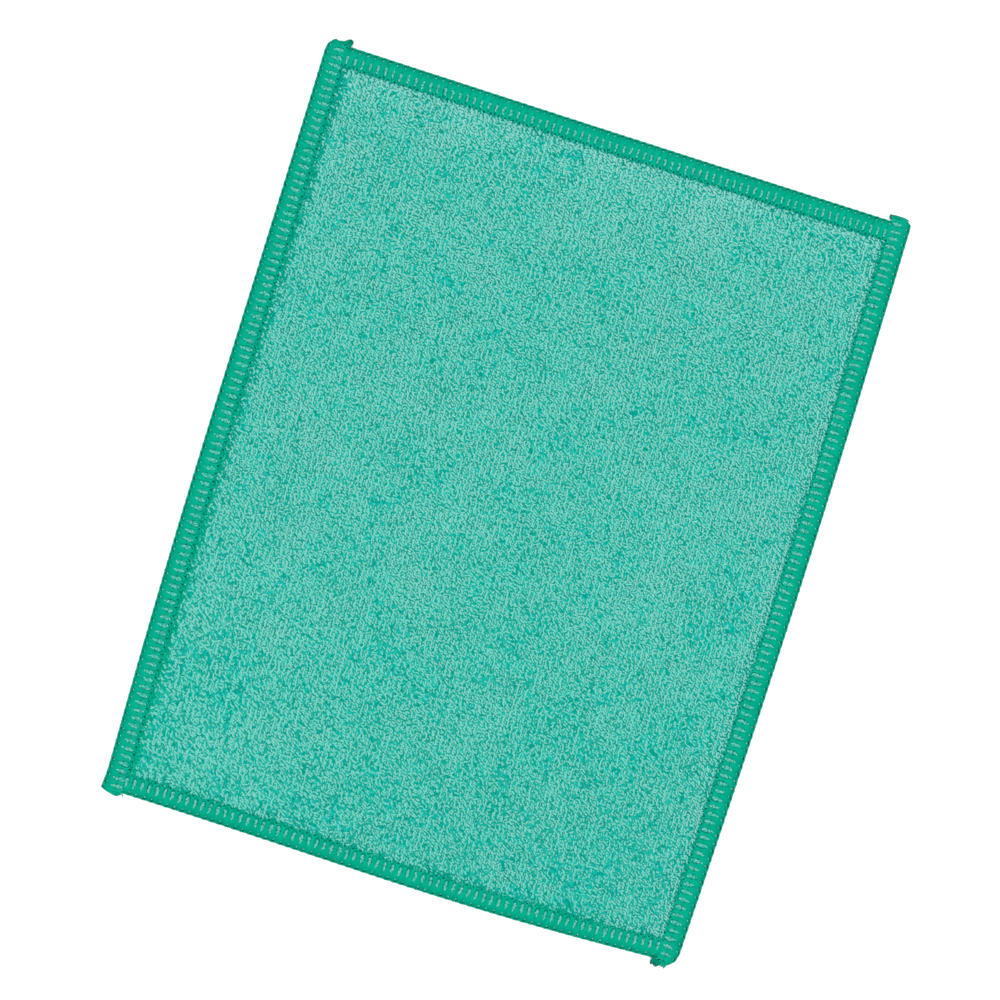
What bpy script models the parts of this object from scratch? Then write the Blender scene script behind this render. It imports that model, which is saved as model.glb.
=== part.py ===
"""A small microfibre terry cloth that lies flat: one cut panel, bound by four runs of overlocked edging.

X runs across the cloth, Y up it and Z up from the surface it lies on. The origin is under the middle of
the bounding box. Sizes are named in millimetres, and MM turns them into Blender's metres.
"""

import math

import bmesh
import bpy

MM = 0.001

# Outer line of each side: a straight chord with one bow and one wave in it. The chord's distance from the
# middle is given at its two ends, bottom then top for the left and right sides, left then right for the
# other two. Bow and wave are positive outwards.
#            start    end    bow    wave
SIDES = {
    "left": (76.40, 78.90, 0.75, 0.25),
    "right": (77.55, 78.15, 1.10, 0.00),
    "top": (99.90, 98.90, -0.15, 0.00),
    "bottom": (100.15, 99.10, 1.45, -0.45),
}
HALF_LENGTH = 100.0  # the left and right chords run from -100 to 100 along Y
HALF_WIDTH = 78.5  # the top and bottom chords run from -78.5 to 78.5 along X

# Width of each run of edging, from the outer line to the needle line.
RUN_WIDTH = {"left": 5.6, "right": 5.6, "top": 5.4, "bottom": 4.8}

# Ends of the two long runs, which pass over the corners: how far the end stands past the short run's
# outer line, the radius of its outer corner, how far it widens over the last FLARE_LENGTH, and the stub
# of thread tail at its inner corner. The tail leans towards the middle of the cloth, in degrees.
#                    reach  round  flare  tail_length  tail_width  tail_lean
RUN_ENDS = {
    ("left", 1): (0.90, 3.6, 0.0, 1.00, 1.3, 38.0),
    ("left", -1): (1.05, 1.8, 0.8, 0.15, 1.9, 18.0),
    ("right", 1): (1.25, 1.8, 0.0, 0.20, 1.5, 42.0),
    ("right", -1): (1.00, 4.2, 0.0, 1.20, 1.5, 33.0),
}
FLARE_LENGTH = 8.0

GAP = 0.3  # between neighbouring pieces

# The panel: a terry slab, and a rim pressed to a thin tongue inside the edging. Heights are above the
# surface that the cloth lies on.
PANEL_HEIGHT = 3.0
SHOULDER_HEIGHT = 2.45  # the terry face where it meets the edging
SHOULDER_WIDTH = 3.0  # over which the terry face rounds off towards the edging
HEM_HEIGHT = 0.25  # how far the underside curls up where it meets the edging
HEM_WIDTH = 0.6
TONGUE_LOW, TONGUE_HIGH = 1.0, 2.0
TONGUE_CORNER = 3.2  # radius of the cut panel's corners
UNEVENNESS = 0.10  # how far the terry face rises and dips from its usual height
# share of the unevenness, wavelength along X, wavelength along Y, phase in radians
TERRY_WAVES = ((0.5, 88.0, -104.0, 0.9), (0.3, 43.0, 76.0, 2.1), (0.2, -120.0, 37.0, 0.0))

# A run of edging, seen along it: a half-round rim outside, a rounded lip inside at the needle line.
EDGING_HEIGHT = 3.0
EDGING_BACK = 1.0  # from the outer line to the cut edge of the panel inside the edging
NOSE_SHARE = 0.45  # most of the width that the half-round rim takes, where the run is narrow
LIP_WIDTH, LIP_DROP = 0.8, 0.65
UNDER_CHAMFER = 0.4
END_TAPER = 0.78  # height of a run's end face, as a share of the run's height
END_ROUNDING = 1.2  # length over which the end tapers
CORNER_SHARE = 0.9  # of the corner's radius that the outer line has turned in by at the end face
TAIL_ROOT = 0.1  # material round a tail's root, towards the end face and the needle line
# share of the tail's length, share of its width
TAIL_PROFILE = ((0.0, 0.9), (0.45, 1.0), (0.75, 0.92), (0.92, 0.7), (1.0, 0.4))

PANEL_CELLS_X, PANEL_CELLS_Y = 26, 32
SHORT_STEPS, LONG_STEPS = 26, 34
CORNER_STEPS, NOSE_STEPS, LIP_STEPS = 6, 8, 3
TAIL_SIDES = 10
PASSES = 6  # the sides curve so little that a place between them settles in a few passes

EMERALD = (0.005, 0.390, 0.250, 1.0)
MINT = (0.115, 0.560, 0.435, 1.0)


def smooth(share):
    """0 to 1 with level ends."""
    share = min(max(share, 0.0), 1.0)
    return share * share * (3.0 - 2.0 * share)


def offset(side, along, half):
    """Distance of a side's outer line from the middle, at a place along it."""
    start, end, bow, wave = SIDES[side]
    share = (along + half) / (2.0 * half)
    chord = start + (end - start) * share
    return chord + bow * math.sin(math.pi * share) + wave * math.sin(2.0 * math.pi * share)


def left_line(y):
    return -offset("left", y, HALF_LENGTH)


def right_line(y):
    return offset("right", y, HALF_LENGTH)


def bottom_line(x):
    return -offset("bottom", x, HALF_WIDTH)


def top_line(x):
    return offset("top", x, HALF_WIDTH)


def inside(across, up, inset):
    """A point of the cloth from its shares across and up, 0 to 1, between the four lines moved inwards."""
    x = y = 0.0
    for _ in range(PASSES):
        low, high = left_line(y) + inset["left"], right_line(y) - inset["right"]
        x = low + (high - low) * across
        low, high = bottom_line(x) + inset["bottom"], top_line(x) - inset["top"]
        y = low + (high - low) * up
    return x, y


def material(name, color, roughness):
    made = bpy.data.materials.new(name)
    made.use_nodes = True
    shader = made.node_tree.nodes["Principled BSDF"]
    shader.inputs["Base Color"].default_value = color
    shader.inputs["Roughness"].default_value = roughness
    shader.inputs["Metallic"].default_value = 0.0
    return made


def solid(name, points, faces, finish=None):
    """A mesh object from points in millimetres, its faces turned outwards."""
    mesh = bpy.data.meshes.new(name)
    mesh.from_pydata([[value * MM for value in point] for point in points], [], faces)
    bm = bmesh.new()
    bm.from_mesh(mesh)
    bmesh.ops.recalc_face_normals(bm, faces=bm.faces)
    bm.to_mesh(mesh)
    bm.free()
    made = bpy.data.objects.new(name, mesh)
    bpy.context.scene.collection.objects.link(made)
    if finish:
        mesh.materials.append(finish)
    return made


def loft(name, rings, finish=None):
    """A closed solid through rings of equally many points, with a flat cap at each end."""
    count = len(rings[0])
    points = [point for ring in rings for point in ring]
    faces = [list(range(count)), [len(points) - count + i for i in range(count)]]
    for first in range(0, len(points) - count, count):
        for i in range(count):
            j = (i + 1) % count
            faces.append([first + i, first + j, first + count + j, first + count + i])
    return solid(name, points, faces, finish)


def combine(target, other, operation):
    """Adds another object to the target, or cuts it away, and keeps it only as a hidden helper."""
    modifier = target.modifiers.new(other.name, "BOOLEAN")
    modifier.operation = operation
    modifier.solver = "EXACT"
    modifier.object = other
    other.hide_render = True
    other.display_type = "WIRE"


def plate(name, inset, low, high):
    """A flat plate with the cloth's outline, moved inwards by the same distance all round."""
    insets = dict.fromkeys(SIDES, inset)
    radius = TONGUE_CORNER
    outline = []
    steps = (LONG_STEPS, SHORT_STEPS, LONG_STEPS, SHORT_STEPS)
    corners = ((0, 0), (0, 1), (1, 1), (1, 0))  # clockwise from the bottom left
    for number, (start, end) in enumerate(zip(corners, corners[1:] + corners[:1])):
        long_side = start[0] == end[0]
        margin = radius / (2.0 * (HALF_LENGTH if long_side else HALF_WIDTH))
        for step in range(steps[number] + 1):
            share = margin + (1.0 - 2.0 * margin) * step / steps[number]
            across = start[0] + (end[0] - start[0]) * share
            up = start[1] + (end[1] - start[1]) * share
            outline.append(inside(across, up, insets))
        corner = inside(*end, insets)
        turn_x, turn_y = (1 - 2 * end[0]) * radius, (1 - 2 * end[1]) * radius
        for step in range(1, CORNER_STEPS):
            angle = 0.5 * math.pi * step / CORNER_STEPS
            near, far = 1.0 - math.sin(angle), 1.0 - math.cos(angle)
            x_share, y_share = (far, near) if long_side else (near, far)
            outline.append((corner[0] + turn_x * x_share, corner[1] + turn_y * y_share))
    return loft(name, [[(x, y, z) for x, y in outline] for z in (low, high)])


def terry_height(x, y, edge):
    """Height of the upper face: rounded off at the shoulder, which is `edge` away, and gently uneven."""
    rounded = math.sqrt(1.0 - (1.0 - min(edge / SHOULDER_WIDTH, 1.0)) ** 2)
    rise = SHOULDER_HEIGHT + (PANEL_HEIGHT - UNEVENNESS - SHOULDER_HEIGHT) * rounded
    waves = 0.0
    for share, along_x, along_y, phase in TERRY_WAVES:
        waves += share * math.sin(2.0 * math.pi * (x / along_x + y / along_y) + phase)
    return rise + UNEVENNESS * waves * smooth(edge / (3.0 * SHOULDER_WIDTH))


def spread(cells, length):
    """Grid lines from 0 to 1 with extra ones close to both ends, where the slab's shoulder is."""
    near = [0.0, HEM_WIDTH / length, 0.5 * SHOULDER_WIDTH / length, SHOULDER_WIDTH / length]
    middle = cells - 2 * len(near) + 2
    start, end = near[-1], 1.0 - near[-1]
    inner = [start + (end - start) * i / middle for i in range(1, middle)]
    return near + inner + [1.0 - share for share in reversed(near)]


def cloth_panel(finish):
    """The cut panel: a terry slab with its lines inside the edging, and a thin tongue all round it."""
    insets = {side: width + GAP for side, width in RUN_WIDTH.items()}
    size_x, size_y = 2.0 * HALF_WIDTH, 2.0 * HALF_LENGTH
    columns, rows = spread(PANEL_CELLS_X, size_x), spread(PANEL_CELLS_Y, size_y)
    upper, lower = [], []
    for up in rows:
        for across in columns:
            x, y = inside(across, up, insets)
            edge = min(min(across, 1.0 - across) * size_x, min(up, 1.0 - up) * size_y)
            upper.append((x, y, terry_height(x, y, edge)))
            lower.append((x, y, HEM_HEIGHT * (1.0 - smooth(edge / HEM_WIDTH))))
    wide, count = len(columns), len(upper)
    faces = []
    for row in range(len(rows) - 1):
        for column in range(wide - 1):
            first = row * wide + column
            quad = [first, first + 1, first + 1 + wide, first + wide]
            faces.append(quad)
            faces.append([index + count for index in reversed(quad)])
    rim = list(range(wide)) + [row * wide + wide - 1 for row in range(1, len(rows))]
    rim += [count - 1 - column for column in range(1, wide)]
    rim += [row * wide for row in range(len(rows) - 2, 0, -1)]
    for index, start in enumerate(rim):
        end = rim[(index + 1) % len(rim)]
        faces.append([start, start + count, end + count, end])
    panel = solid("cloth_panel", upper + lower, faces, finish)
    combine(panel, plate("tongue", EDGING_BACK, TONGUE_LOW, TONGUE_HIGH), "UNION")


def edging_section(width, height_share):
    """(across, height) round a run's section: lip, half-round rim and flat underside."""
    middle = EDGING_HEIGHT / 2.0
    nose = min(middle, width * NOSE_SHARE)
    section = []
    for step in range(LIP_STEPS + 1):
        angle = 0.5 * math.pi * step / LIP_STEPS
        across = width - LIP_WIDTH * (1.0 - math.cos(angle))
        section.append((across, EDGING_HEIGHT - LIP_DROP * (1.0 - math.sin(angle))))
    for step in range(NOSE_STEPS + 1):
        angle = math.pi * (0.5 + step / NOSE_STEPS)
        section.append((nose + nose * math.cos(angle), middle + middle * math.sin(angle)))
    section += [(width - UNDER_CHAMFER, 0.0), (width, UNDER_CHAMFER)]
    return [(across, middle + (height - middle) * height_share) for across, height in section]


def edging(name, rings, tails, finish):
    """A run of edging with its thread tails, hollowed where the rim of the panel lies in it."""
    run = loft(name, rings, finish)
    for stub in tails:
        combine(run, stub, "UNION")
    combine(run, bpy.data.objects["edging_space"], "DIFFERENCE")
    run.data.shade_smooth()
    run.data.set_sharp_from_angle(angle=math.radians(40.0))


def short_run(side, finish):
    """The top or bottom run, which stops just short of the long runs at both ends."""
    line = top_line if side == "top" else bottom_line
    inward = -1.0 if side == "top" else 1.0
    rings = []
    for step in range(SHORT_STEPS + 1):
        ring = []
        for across, height in edging_section(RUN_WIDTH[side], 1.0):
            x = 0.0
            for _ in range(PASSES):
                y = line(x) + inward * across
                low = left_line(y) + RUN_WIDTH["left"] + GAP
                high = right_line(y) - RUN_WIDTH["right"] - GAP
                x = low + (high - low) * step / SHORT_STEPS
            ring.append((x, y, height))
        rings.append(ring)
    edging("edging_" + side, rings, [], finish)


def long_line(side, y):
    return left_line(y) if side == "left" else right_line(y)


def run_end(side, end):
    """Y of a long run's end face, and the Y where its outer corner starts to turn in."""
    reach, radius = RUN_ENDS[side, end][:2]
    inward = 1.0 if side == "left" else -1.0
    inner_x = long_line(side, end * HALF_LENGTH) + inward * RUN_WIDTH[side]
    tip = (top_line if end > 0 else bottom_line)(inner_x) + end * reach
    return tip, tip - end * radius


def tail(side, end):
    """The stub of thread tail at a run's inner corner, as a short rounded rod that starts in the run."""
    length, width, lean = RUN_ENDS[side, end][3:]
    tip, _ = run_end(side, end)
    inward = 1.0 if side == "left" else -1.0
    radius = width / 2.0
    sunk = radius + TAIL_ROOT
    root_x = long_line(side, tip) + inward * (RUN_WIDTH[side] - radius - TAIL_ROOT)
    root_y = tip - end * sunk
    turned = math.radians(lean)
    ahead = (inward * math.sin(turned), end * math.cos(turned))
    beside = (ahead[1], -ahead[0])
    rings = []
    for share, thick in TAIL_PROFILE:
        along = (sunk + length) * share
        ring = []
        for step in range(TAIL_SIDES):
            angle = 2.0 * math.pi * step / TAIL_SIDES
            out = radius * thick * math.cos(angle)
            x = root_x + ahead[0] * along + beside[0] * out
            y = root_y + ahead[1] * along + beside[1] * out
            ring.append((x, y, EDGING_HEIGHT / 2.0 + radius * thick * math.sin(angle)))
        rings.append(ring)
    return loft(f"tail_{side}_{'top' if end > 0 else 'bottom'}", rings)


def long_run(side, finish):
    """The left or right run, full length, with its rounded ends and thread tails over the corners."""
    inward = 1.0 if side == "left" else -1.0
    stations = []  # (y, how far the outer line has turned in)
    bottom, bottom_turn = run_end(side, -1)
    top, top_turn = run_end(side, 1)
    for step in range(LONG_STEPS + 1):
        stations.append((bottom_turn + (top_turn - bottom_turn) * step / LONG_STEPS, 0.0))
    for end, tip in ((-1, bottom), (1, top)):
        radius = RUN_ENDS[side, end][1]
        for step in range(1, CORNER_STEPS + 1):
            angle = 0.5 * math.pi * step / CORNER_STEPS
            y = tip - end * radius * (1.0 - math.sin(angle))
            stations.append((y, radius * (1.0 - math.cos(angle)) * CORNER_SHARE))
    rings = []
    for y, turned_in in sorted(stations):
        for end, tip in ((-1, bottom), (1, top)):
            near = max(0.0, 1.0 - abs(tip - y) / FLARE_LENGTH)
            turned_in -= RUN_ENDS[side, end][2] * near * near
        from_end = min(y - bottom, top - y)
        height_share = END_TAPER + (1.0 - END_TAPER) * smooth(from_end / END_ROUNDING)
        section = edging_section(RUN_WIDTH[side] - turned_in, height_share)
        outer = long_line(side, y) + inward * turned_in
        rings.append([(outer + inward * across, y, z) for across, z in section])
    edging("edging_" + side, rings, [tail(side, -1), tail(side, 1)], finish)


def build():
    for old in list(bpy.data.objects):
        bpy.data.objects.remove(old)
    terry = material("terry", MINT, 0.95)
    thread = material("thread", EMERALD, 0.7)
    cloth_panel(terry)
    plate("edging_space", EDGING_BACK - GAP, TONGUE_LOW - GAP, TONGUE_HIGH + GAP)
    for side in ("left", "right"):
        long_run(side, thread)
    for side in ("top", "bottom"):
        short_run(side, thread)


build()
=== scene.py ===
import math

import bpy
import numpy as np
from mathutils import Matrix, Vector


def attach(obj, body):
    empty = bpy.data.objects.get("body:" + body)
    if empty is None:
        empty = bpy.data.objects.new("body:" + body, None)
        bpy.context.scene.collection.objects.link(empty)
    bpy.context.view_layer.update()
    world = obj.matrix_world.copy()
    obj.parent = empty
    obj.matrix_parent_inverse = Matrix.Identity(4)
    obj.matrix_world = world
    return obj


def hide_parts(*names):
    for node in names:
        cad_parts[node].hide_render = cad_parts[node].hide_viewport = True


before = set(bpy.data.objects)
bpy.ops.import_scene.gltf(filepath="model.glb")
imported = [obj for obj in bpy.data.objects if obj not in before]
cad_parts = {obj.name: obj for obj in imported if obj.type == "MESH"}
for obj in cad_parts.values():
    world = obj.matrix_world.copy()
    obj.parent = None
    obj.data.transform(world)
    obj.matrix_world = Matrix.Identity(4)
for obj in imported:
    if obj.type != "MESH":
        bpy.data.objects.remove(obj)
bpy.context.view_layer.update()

# The cloth as it lies: a thin lumpy ground sheet, terry loops standing on it, and four runs of overlocked
# edging made strand by strand. X runs across the cloth, Y up it and Z up from the floor. Sizes are named in
# millimetres, and MM turns them into Blender's metres.

MM = 0.001

# ---------------------------------------------------------------- outline, as in the part's source
# Outer line of each side: a straight chord with one bow and one wave in it, positive outwards. The chord's
# distance from the middle is given at its bottom and top end, or at its left and right end.
#            start    end    bow    wave
SIDES = {
    "left": (76.40, 78.90, 0.75, 0.25),
    "right": (77.55, 78.15, 1.10, 0.00),
    "top": (99.90, 98.90, -0.15, 0.00),
    "bottom": (100.15, 99.10, 1.45, -0.45),
}
HALF_LENGTH = 100.0
HALF_WIDTH = 78.5
RUN_WIDTH = {"left": 5.6, "right": 5.6, "top": 5.4, "bottom": 4.8}  # outer line to needle line
# Ends of the long runs: how far the end stands past the short run's outer line, the radius of its outer
# corner, and how far it widens over the last FLARE_LENGTH.
#                    reach  round  flare
RUN_ENDS = {
    ("left", 1): (0.90, 3.6, 0.0),
    ("left", -1): (1.05, 1.8, 0.8),
    ("right", 1): (1.25, 1.8, 0.0),
    ("right", -1): (1.00, 4.2, 0.0),
}
FLARE_LENGTH = 8.0

# ---------------------------------------------------------------- terry
WALE, COURSE = 1.28, 0.77  # spacing of the loops across and up
TERRY_TOP = 2.88  # height of the loops' tops
TERRY_BASE = 2.25
PILE_BANDS = 4

# Colours by place on a ramp: the ground's by its noise, a strand's by how high it lies, and a strand's tint
# by a number of its own. The ramps run from deep green low down to pale on top: painted shade in the depths
# of the pile and under the edge, and a painted sheen on the tops. The ground's ramp stays deeper than the
# loops' tops, painted shade between the loops.
GROUND_RAMP = [(0.40, (0.0, 0.22, 0.17)), (0.50, (0.0, 0.275, 0.215)), (0.60, (0.005, 0.32, 0.255)),
               (0.68, (0.01, 0.34, 0.275))]
TERRY_RAMP = [(0.0, (0.0, 0.20, 0.15)), (0.35, (0.001, 0.28, 0.215)), (0.5, (0.09, 0.41, 0.345)),
              (0.65, (0.155, 0.465, 0.40)), (0.80, (0.165, 0.47, 0.41)), (1.0, (0.165, 0.47, 0.41))]
TERRY_TINTS = [(0.0, (0.10, 1.18, 0.93)), (0.3, (0.75, 0.99, 0.97)), (1.0, (1.45, 1.06, 1.11))]
THREAD_RAMP = [(0.0, (0.0, 0.07, 0.045)), (0.5, (0.0, 0.31, 0.20)), (0.87, (0.001, 0.388, 0.252)),
               (1.0, (0.004, 0.50, 0.33))]
THREAD_TINTS = [(0.0, (0.82, 0.86, 0.84)), (1.0, (1.18, 1.12, 1.13))]

# ---------------------------------------------------------------- edging
# Number of stitches up to a place on a side, as a cubic in decimetres from its middle (up, or to the right).
# A window between two legs of thread lies at each whole number.
STITCHES = {
    "left": (0.511, 47.083, -0.365, 0.787),
    "right": (-1.050, 48.933, 0.916, 0.162),
    "top": (-1.040, 53.518, 2.191, -1.553),
    "bottom": (-0.357, 48.968, 0.371, 0.656),
}
CLOCKWISE = {"left": 1, "right": -1, "top": 1, "bottom": -1}


def offset(side, along):
    """Distance of a side's outer line from the middle, at places along it."""
    start, end, bow, wave = SIDES[side]
    half = HALF_LENGTH if side in ("left", "right") else HALF_WIDTH
    share = (along + half) / (2.0 * half)
    return start + (end - start) * share + bow * np.sin(np.pi * share) + wave * np.sin(2 * np.pi * share)


def edge_distance(x, y):
    """Distance inwards from the outer line of each side."""
    return {
        "left": x + offset("left", y),
        "right": offset("right", y) - x,
        "top": offset("top", x) - y,
        "bottom": y + offset("bottom", x),
    }


def smooth(share):
    share = np.clip(share, 0.0, 1.0)
    return share * share * (3.0 - 2.0 * share)


def field(x, y, cell, seed):
    """Smooth random values, mostly from -1 to 1, that change over `cell` millimetres."""
    random = np.random.default_rng(seed)
    grid = random.uniform(-1.0, 1.0, (int(200 / cell) + 4, int(250 / cell) + 4))
    u, v = (x + 100.0) / cell, (y + 125.0) / cell
    i, j = np.floor(u).astype(int), np.floor(v).astype(int)
    fu, fv = smooth(u - i), smooth(v - j)
    low = grid[i, j] * (1 - fu) + grid[i + 1, j] * fu
    high = grid[i, j + 1] * (1 - fu) + grid[i + 1, j + 1] * fu
    return low * (1 - fv) + high * fv


# ---------------------------------------------------------------- materials
def nodes_of(material):
    tree = material.node_tree
    return tree, tree.nodes["Principled BSDF"]


def ramp_node(tree, stops):
    ramp = tree.nodes.new("ShaderNodeValToRGB")
    elements = ramp.color_ramp.elements
    elements[0].position, elements[1].position = stops[0][0], stops[-1][0]
    for place, _ in stops[1:-1]:
        elements.new(place)
    for element, (_, color) in zip(elements, stops):
        element.color = (*color, 1.0)
    return ramp


def strand_material(name, stops, tints, rough_low, rough_high, specular):
    """Colour by height in the pile (U of the strand's map), deeper green low down as painted shade and pale
    on top as a painted sheen, and by a tint of its own (V of the map).
    """
    material = bpy.data.materials.new(name)
    material.use_nodes = True
    tree, shader = nodes_of(material)
    link = tree.links.new
    place = tree.nodes.new("ShaderNodeUVMap")
    place.uv_map = "OFBake"
    split = tree.nodes.new("ShaderNodeSeparateXYZ")
    link(place.outputs["UV"], split.inputs[0])
    ramp = ramp_node(tree, stops)
    link(split.outputs["X"], ramp.inputs["Fac"])
    tint = ramp_node(tree, tints)
    link(split.outputs["Y"], tint.inputs["Fac"])
    mixed = tree.nodes.new("ShaderNodeMix")
    mixed.data_type = "RGBA"
    mixed.blend_type = "MULTIPLY"
    mixed.inputs["Factor"].default_value = 1.0
    link(ramp.outputs["Color"], mixed.inputs["A"])
    link(tint.outputs["Color"], mixed.inputs["B"])
    link(mixed.outputs["Result"], shader.inputs["Base Color"])
    rough = tree.nodes.new("ShaderNodeMapRange")
    rough.inputs["To Min"].default_value = rough_low
    rough.inputs["To Max"].default_value = rough_high
    link(split.outputs["X"], rough.inputs["Value"])
    link(rough.outputs["Result"], shader.inputs["Roughness"])
    shader.inputs["Specular IOR Level"].default_value = specular
    return material


def ground_material():
    """Terry seen between the loops: small pale and deeper green patches, with their relief as bump from the
    same noise, so the hollows are coloured deeper, partly painted shade and partly random tone.
    """
    material = bpy.data.materials.new("terry_ground")
    material.use_nodes = True
    tree, shader = nodes_of(material)
    link = tree.links.new
    place = tree.nodes.new("ShaderNodeTexCoord")
    patches = tree.nodes.new("ShaderNodeTexNoise")
    patches.inputs["Scale"].default_value = 1000.0
    patches.inputs["Detail"].default_value = 2.0
    link(place.outputs["Object"], patches.inputs["Vector"])
    ramp = ramp_node(tree, GROUND_RAMP)
    link(patches.outputs["Fac"], ramp.inputs["Fac"])
    link(ramp.outputs["Color"], shader.inputs["Base Color"])
    bump = tree.nodes.new("ShaderNodeBump")
    bump.inputs["Strength"].default_value = 0.6
    bump.inputs["Distance"].default_value = 0.0003
    link(patches.outputs["Fac"], bump.inputs["Height"])
    link(bump.outputs["Normal"], shader.inputs["Normal"])
    rough = tree.nodes.new("ShaderNodeMapRange")
    rough.inputs["To Min"].default_value = 0.98
    rough.inputs["To Max"].default_value = 0.85
    link(patches.outputs["Fac"], rough.inputs["Value"])
    link(rough.outputs["Result"], shader.inputs["Roughness"])
    shader.inputs["Specular IOR Level"].default_value = 0.02
    return material


# ---------------------------------------------------------------- mesh building
def add_mesh(name, points, loops, starts, maps, material):
    """A mesh object from arrays: points in millimetres, corner indices, face starts and a map per point."""
    mesh = bpy.data.meshes.new(name)
    mesh.vertices.add(len(points))
    mesh.vertices.foreach_set("co", (points * MM).astype(np.float32).ravel())
    mesh.loops.add(len(loops))
    mesh.loops.foreach_set("vertex_index", loops.astype(np.int32))
    mesh.polygons.add(len(starts))
    mesh.polygons.foreach_set("loop_start", starts.astype(np.int32))
    mesh.polygons.foreach_set("use_smooth", np.full(len(starts), maps is None))
    if maps is not None:
        layer = mesh.uv_layers.new(name="OFBake")
        layer.data.foreach_set("uv", maps[loops].astype(np.float32).ravel())
    mesh.materials.append(material)
    mesh.update(calc_edges=True)
    mesh.validate()
    made = bpy.data.objects.new(name, mesh)
    bpy.context.scene.collection.objects.link(made)
    return made


def unit(vectors):
    return vectors / np.maximum(np.linalg.norm(vectors, axis=-1, keepdims=True), 1e-9)


def strands(paths, across, radii, shades, tints, sides=3, flat=0.8, painted_ridge_shade=0.3):
    """Closed strands along many paths at once: a point, rings of `sides` points, and a point.

    paths is (strands, stations, 3), across one vector per strand that its first ring is set out by, radii and
    shades one value per station, tints one per strand. By painted_ridge_shade a strand's crest is coloured
    lighter than its flanks: a painted highlight along the crest and painted shade on the flanks. Its two end
    points are coloured at the foot of the ramp, painted shade where it dives in.
    """
    count, stations, _ = paths.shape
    rings = stations - 2
    tangents = unit(np.gradient(paths, axis=1))
    beside = np.broadcast_to(across, (count, 3)).astype(float)
    points, us = [paths[:, :1]], [shades[:, :1] * 0.0]
    turn = 2.0 * np.pi * np.arange(sides) / sides + 0.5 * np.pi
    for station in range(stations):
        tangent = tangents[:, station]
        beside = unit(beside - (beside * tangent).sum(1, keepdims=True) * tangent)
        above = np.cross(tangent, beside)
        if station in (0, stations - 1):
            continue
        radius = radii[:, station, None, None]
        ring = paths[:, station, None] + radius * (
            np.cos(turn)[None, :, None] * beside[:, None]
            + flat * np.sin(turn)[None, :, None] * above[:, None]
        )
        points.append(ring)
        us.append(shades[:, station, None] * (1.0 - painted_ridge_shade + painted_ridge_shade * np.sin(turn)[None]))
    points.append(paths[:, -1:])
    us.append(shades[:, -1:] * 0.0)
    points = np.concatenate(points, 1)
    us = np.concatenate(us, 1)
    per = rings * sides + 2
    corners, starts = [], []
    for j in range(sides):
        k = (j + 1) % sides
        starts.append(len(corners))
        corners += [0, 1 + k, 1 + j]
    for ring in range(rings - 1):
        first = 1 + ring * sides
        for j in range(sides):
            k = (j + 1) % sides
            starts.append(len(corners))
            corners += [first + j, first + k, first + sides + k, first + sides + j]
    first = 1 + (rings - 1) * sides
    for j in range(sides):
        k = (j + 1) % sides
        starts.append(len(corners))
        corners += [per - 1, first + j, first + k]
    moves = np.arange(count)[:, None]
    loops = (np.array(corners)[None] + moves * per).ravel()
    begins = (np.array(starts)[None] + moves * len(corners)).ravel()
    vs = np.repeat(tints[:, None], per, 1)
    return points.reshape(-1, 3), loops, begins, np.stack([us.ravel(), vs.ravel()], 1)


def joined(batches):
    """Several results of strands() as one."""
    whole = [[], [], [], []]
    moved = corners = 0
    for points, loops, starts, maps in batches:
        for kept, added in zip(whole, (points, loops + moved, starts + corners, maps)):
            kept.append(added)
        moved += len(points)
        corners += len(loops)
    return [np.concatenate(kept) for kept in whole]


# ---------------------------------------------------------------- ground sheet
def inside(across, up, inset):
    """Points of the cloth from their shares across and up, between the four lines moved inwards."""
    x, y = np.zeros_like(across), np.zeros_like(across)
    for _ in range(6):
        low, high = -offset("left", y) + inset, offset("right", y) - inset
        x = low + (high - low) * across
        low, high = -offset("bottom", x) + inset, offset("top", x) - inset
        y = low + (high - low) * up
    return x, y


def edge_share(x, y):
    """Least distance from the outer line, and least distance from the needle line (below 0 in the edging)."""
    near = edge_distance(x, y)
    outer = np.minimum.reduce([near[side] for side in SIDES])
    inner = np.minimum.reduce([near[side] - RUN_WIDTH[side] for side in SIDES])
    return outer, inner


SHEET_INSET = 1.0  # the cut edge, inwards from the thread's outer line
SHEET_CORNER = 4.0
SHEET_MIDDLE = 1.5  # height of the sheet's middle at its cut edge
SHEET_HALF = 0.05  # half its thickness there
HEM = 1.4  # width over which it swells to its full thickness
COLUMNS, ROWS = 84, 106


def edge_shares(rim, step, count):
    """Shares from 0 to 1 that lie close together at both rims and evenly between them."""
    rim = np.array(rim)
    return np.concatenate([rim, np.linspace(step, 1.0 - step, count), 1.0 - rim[::-1]])


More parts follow.
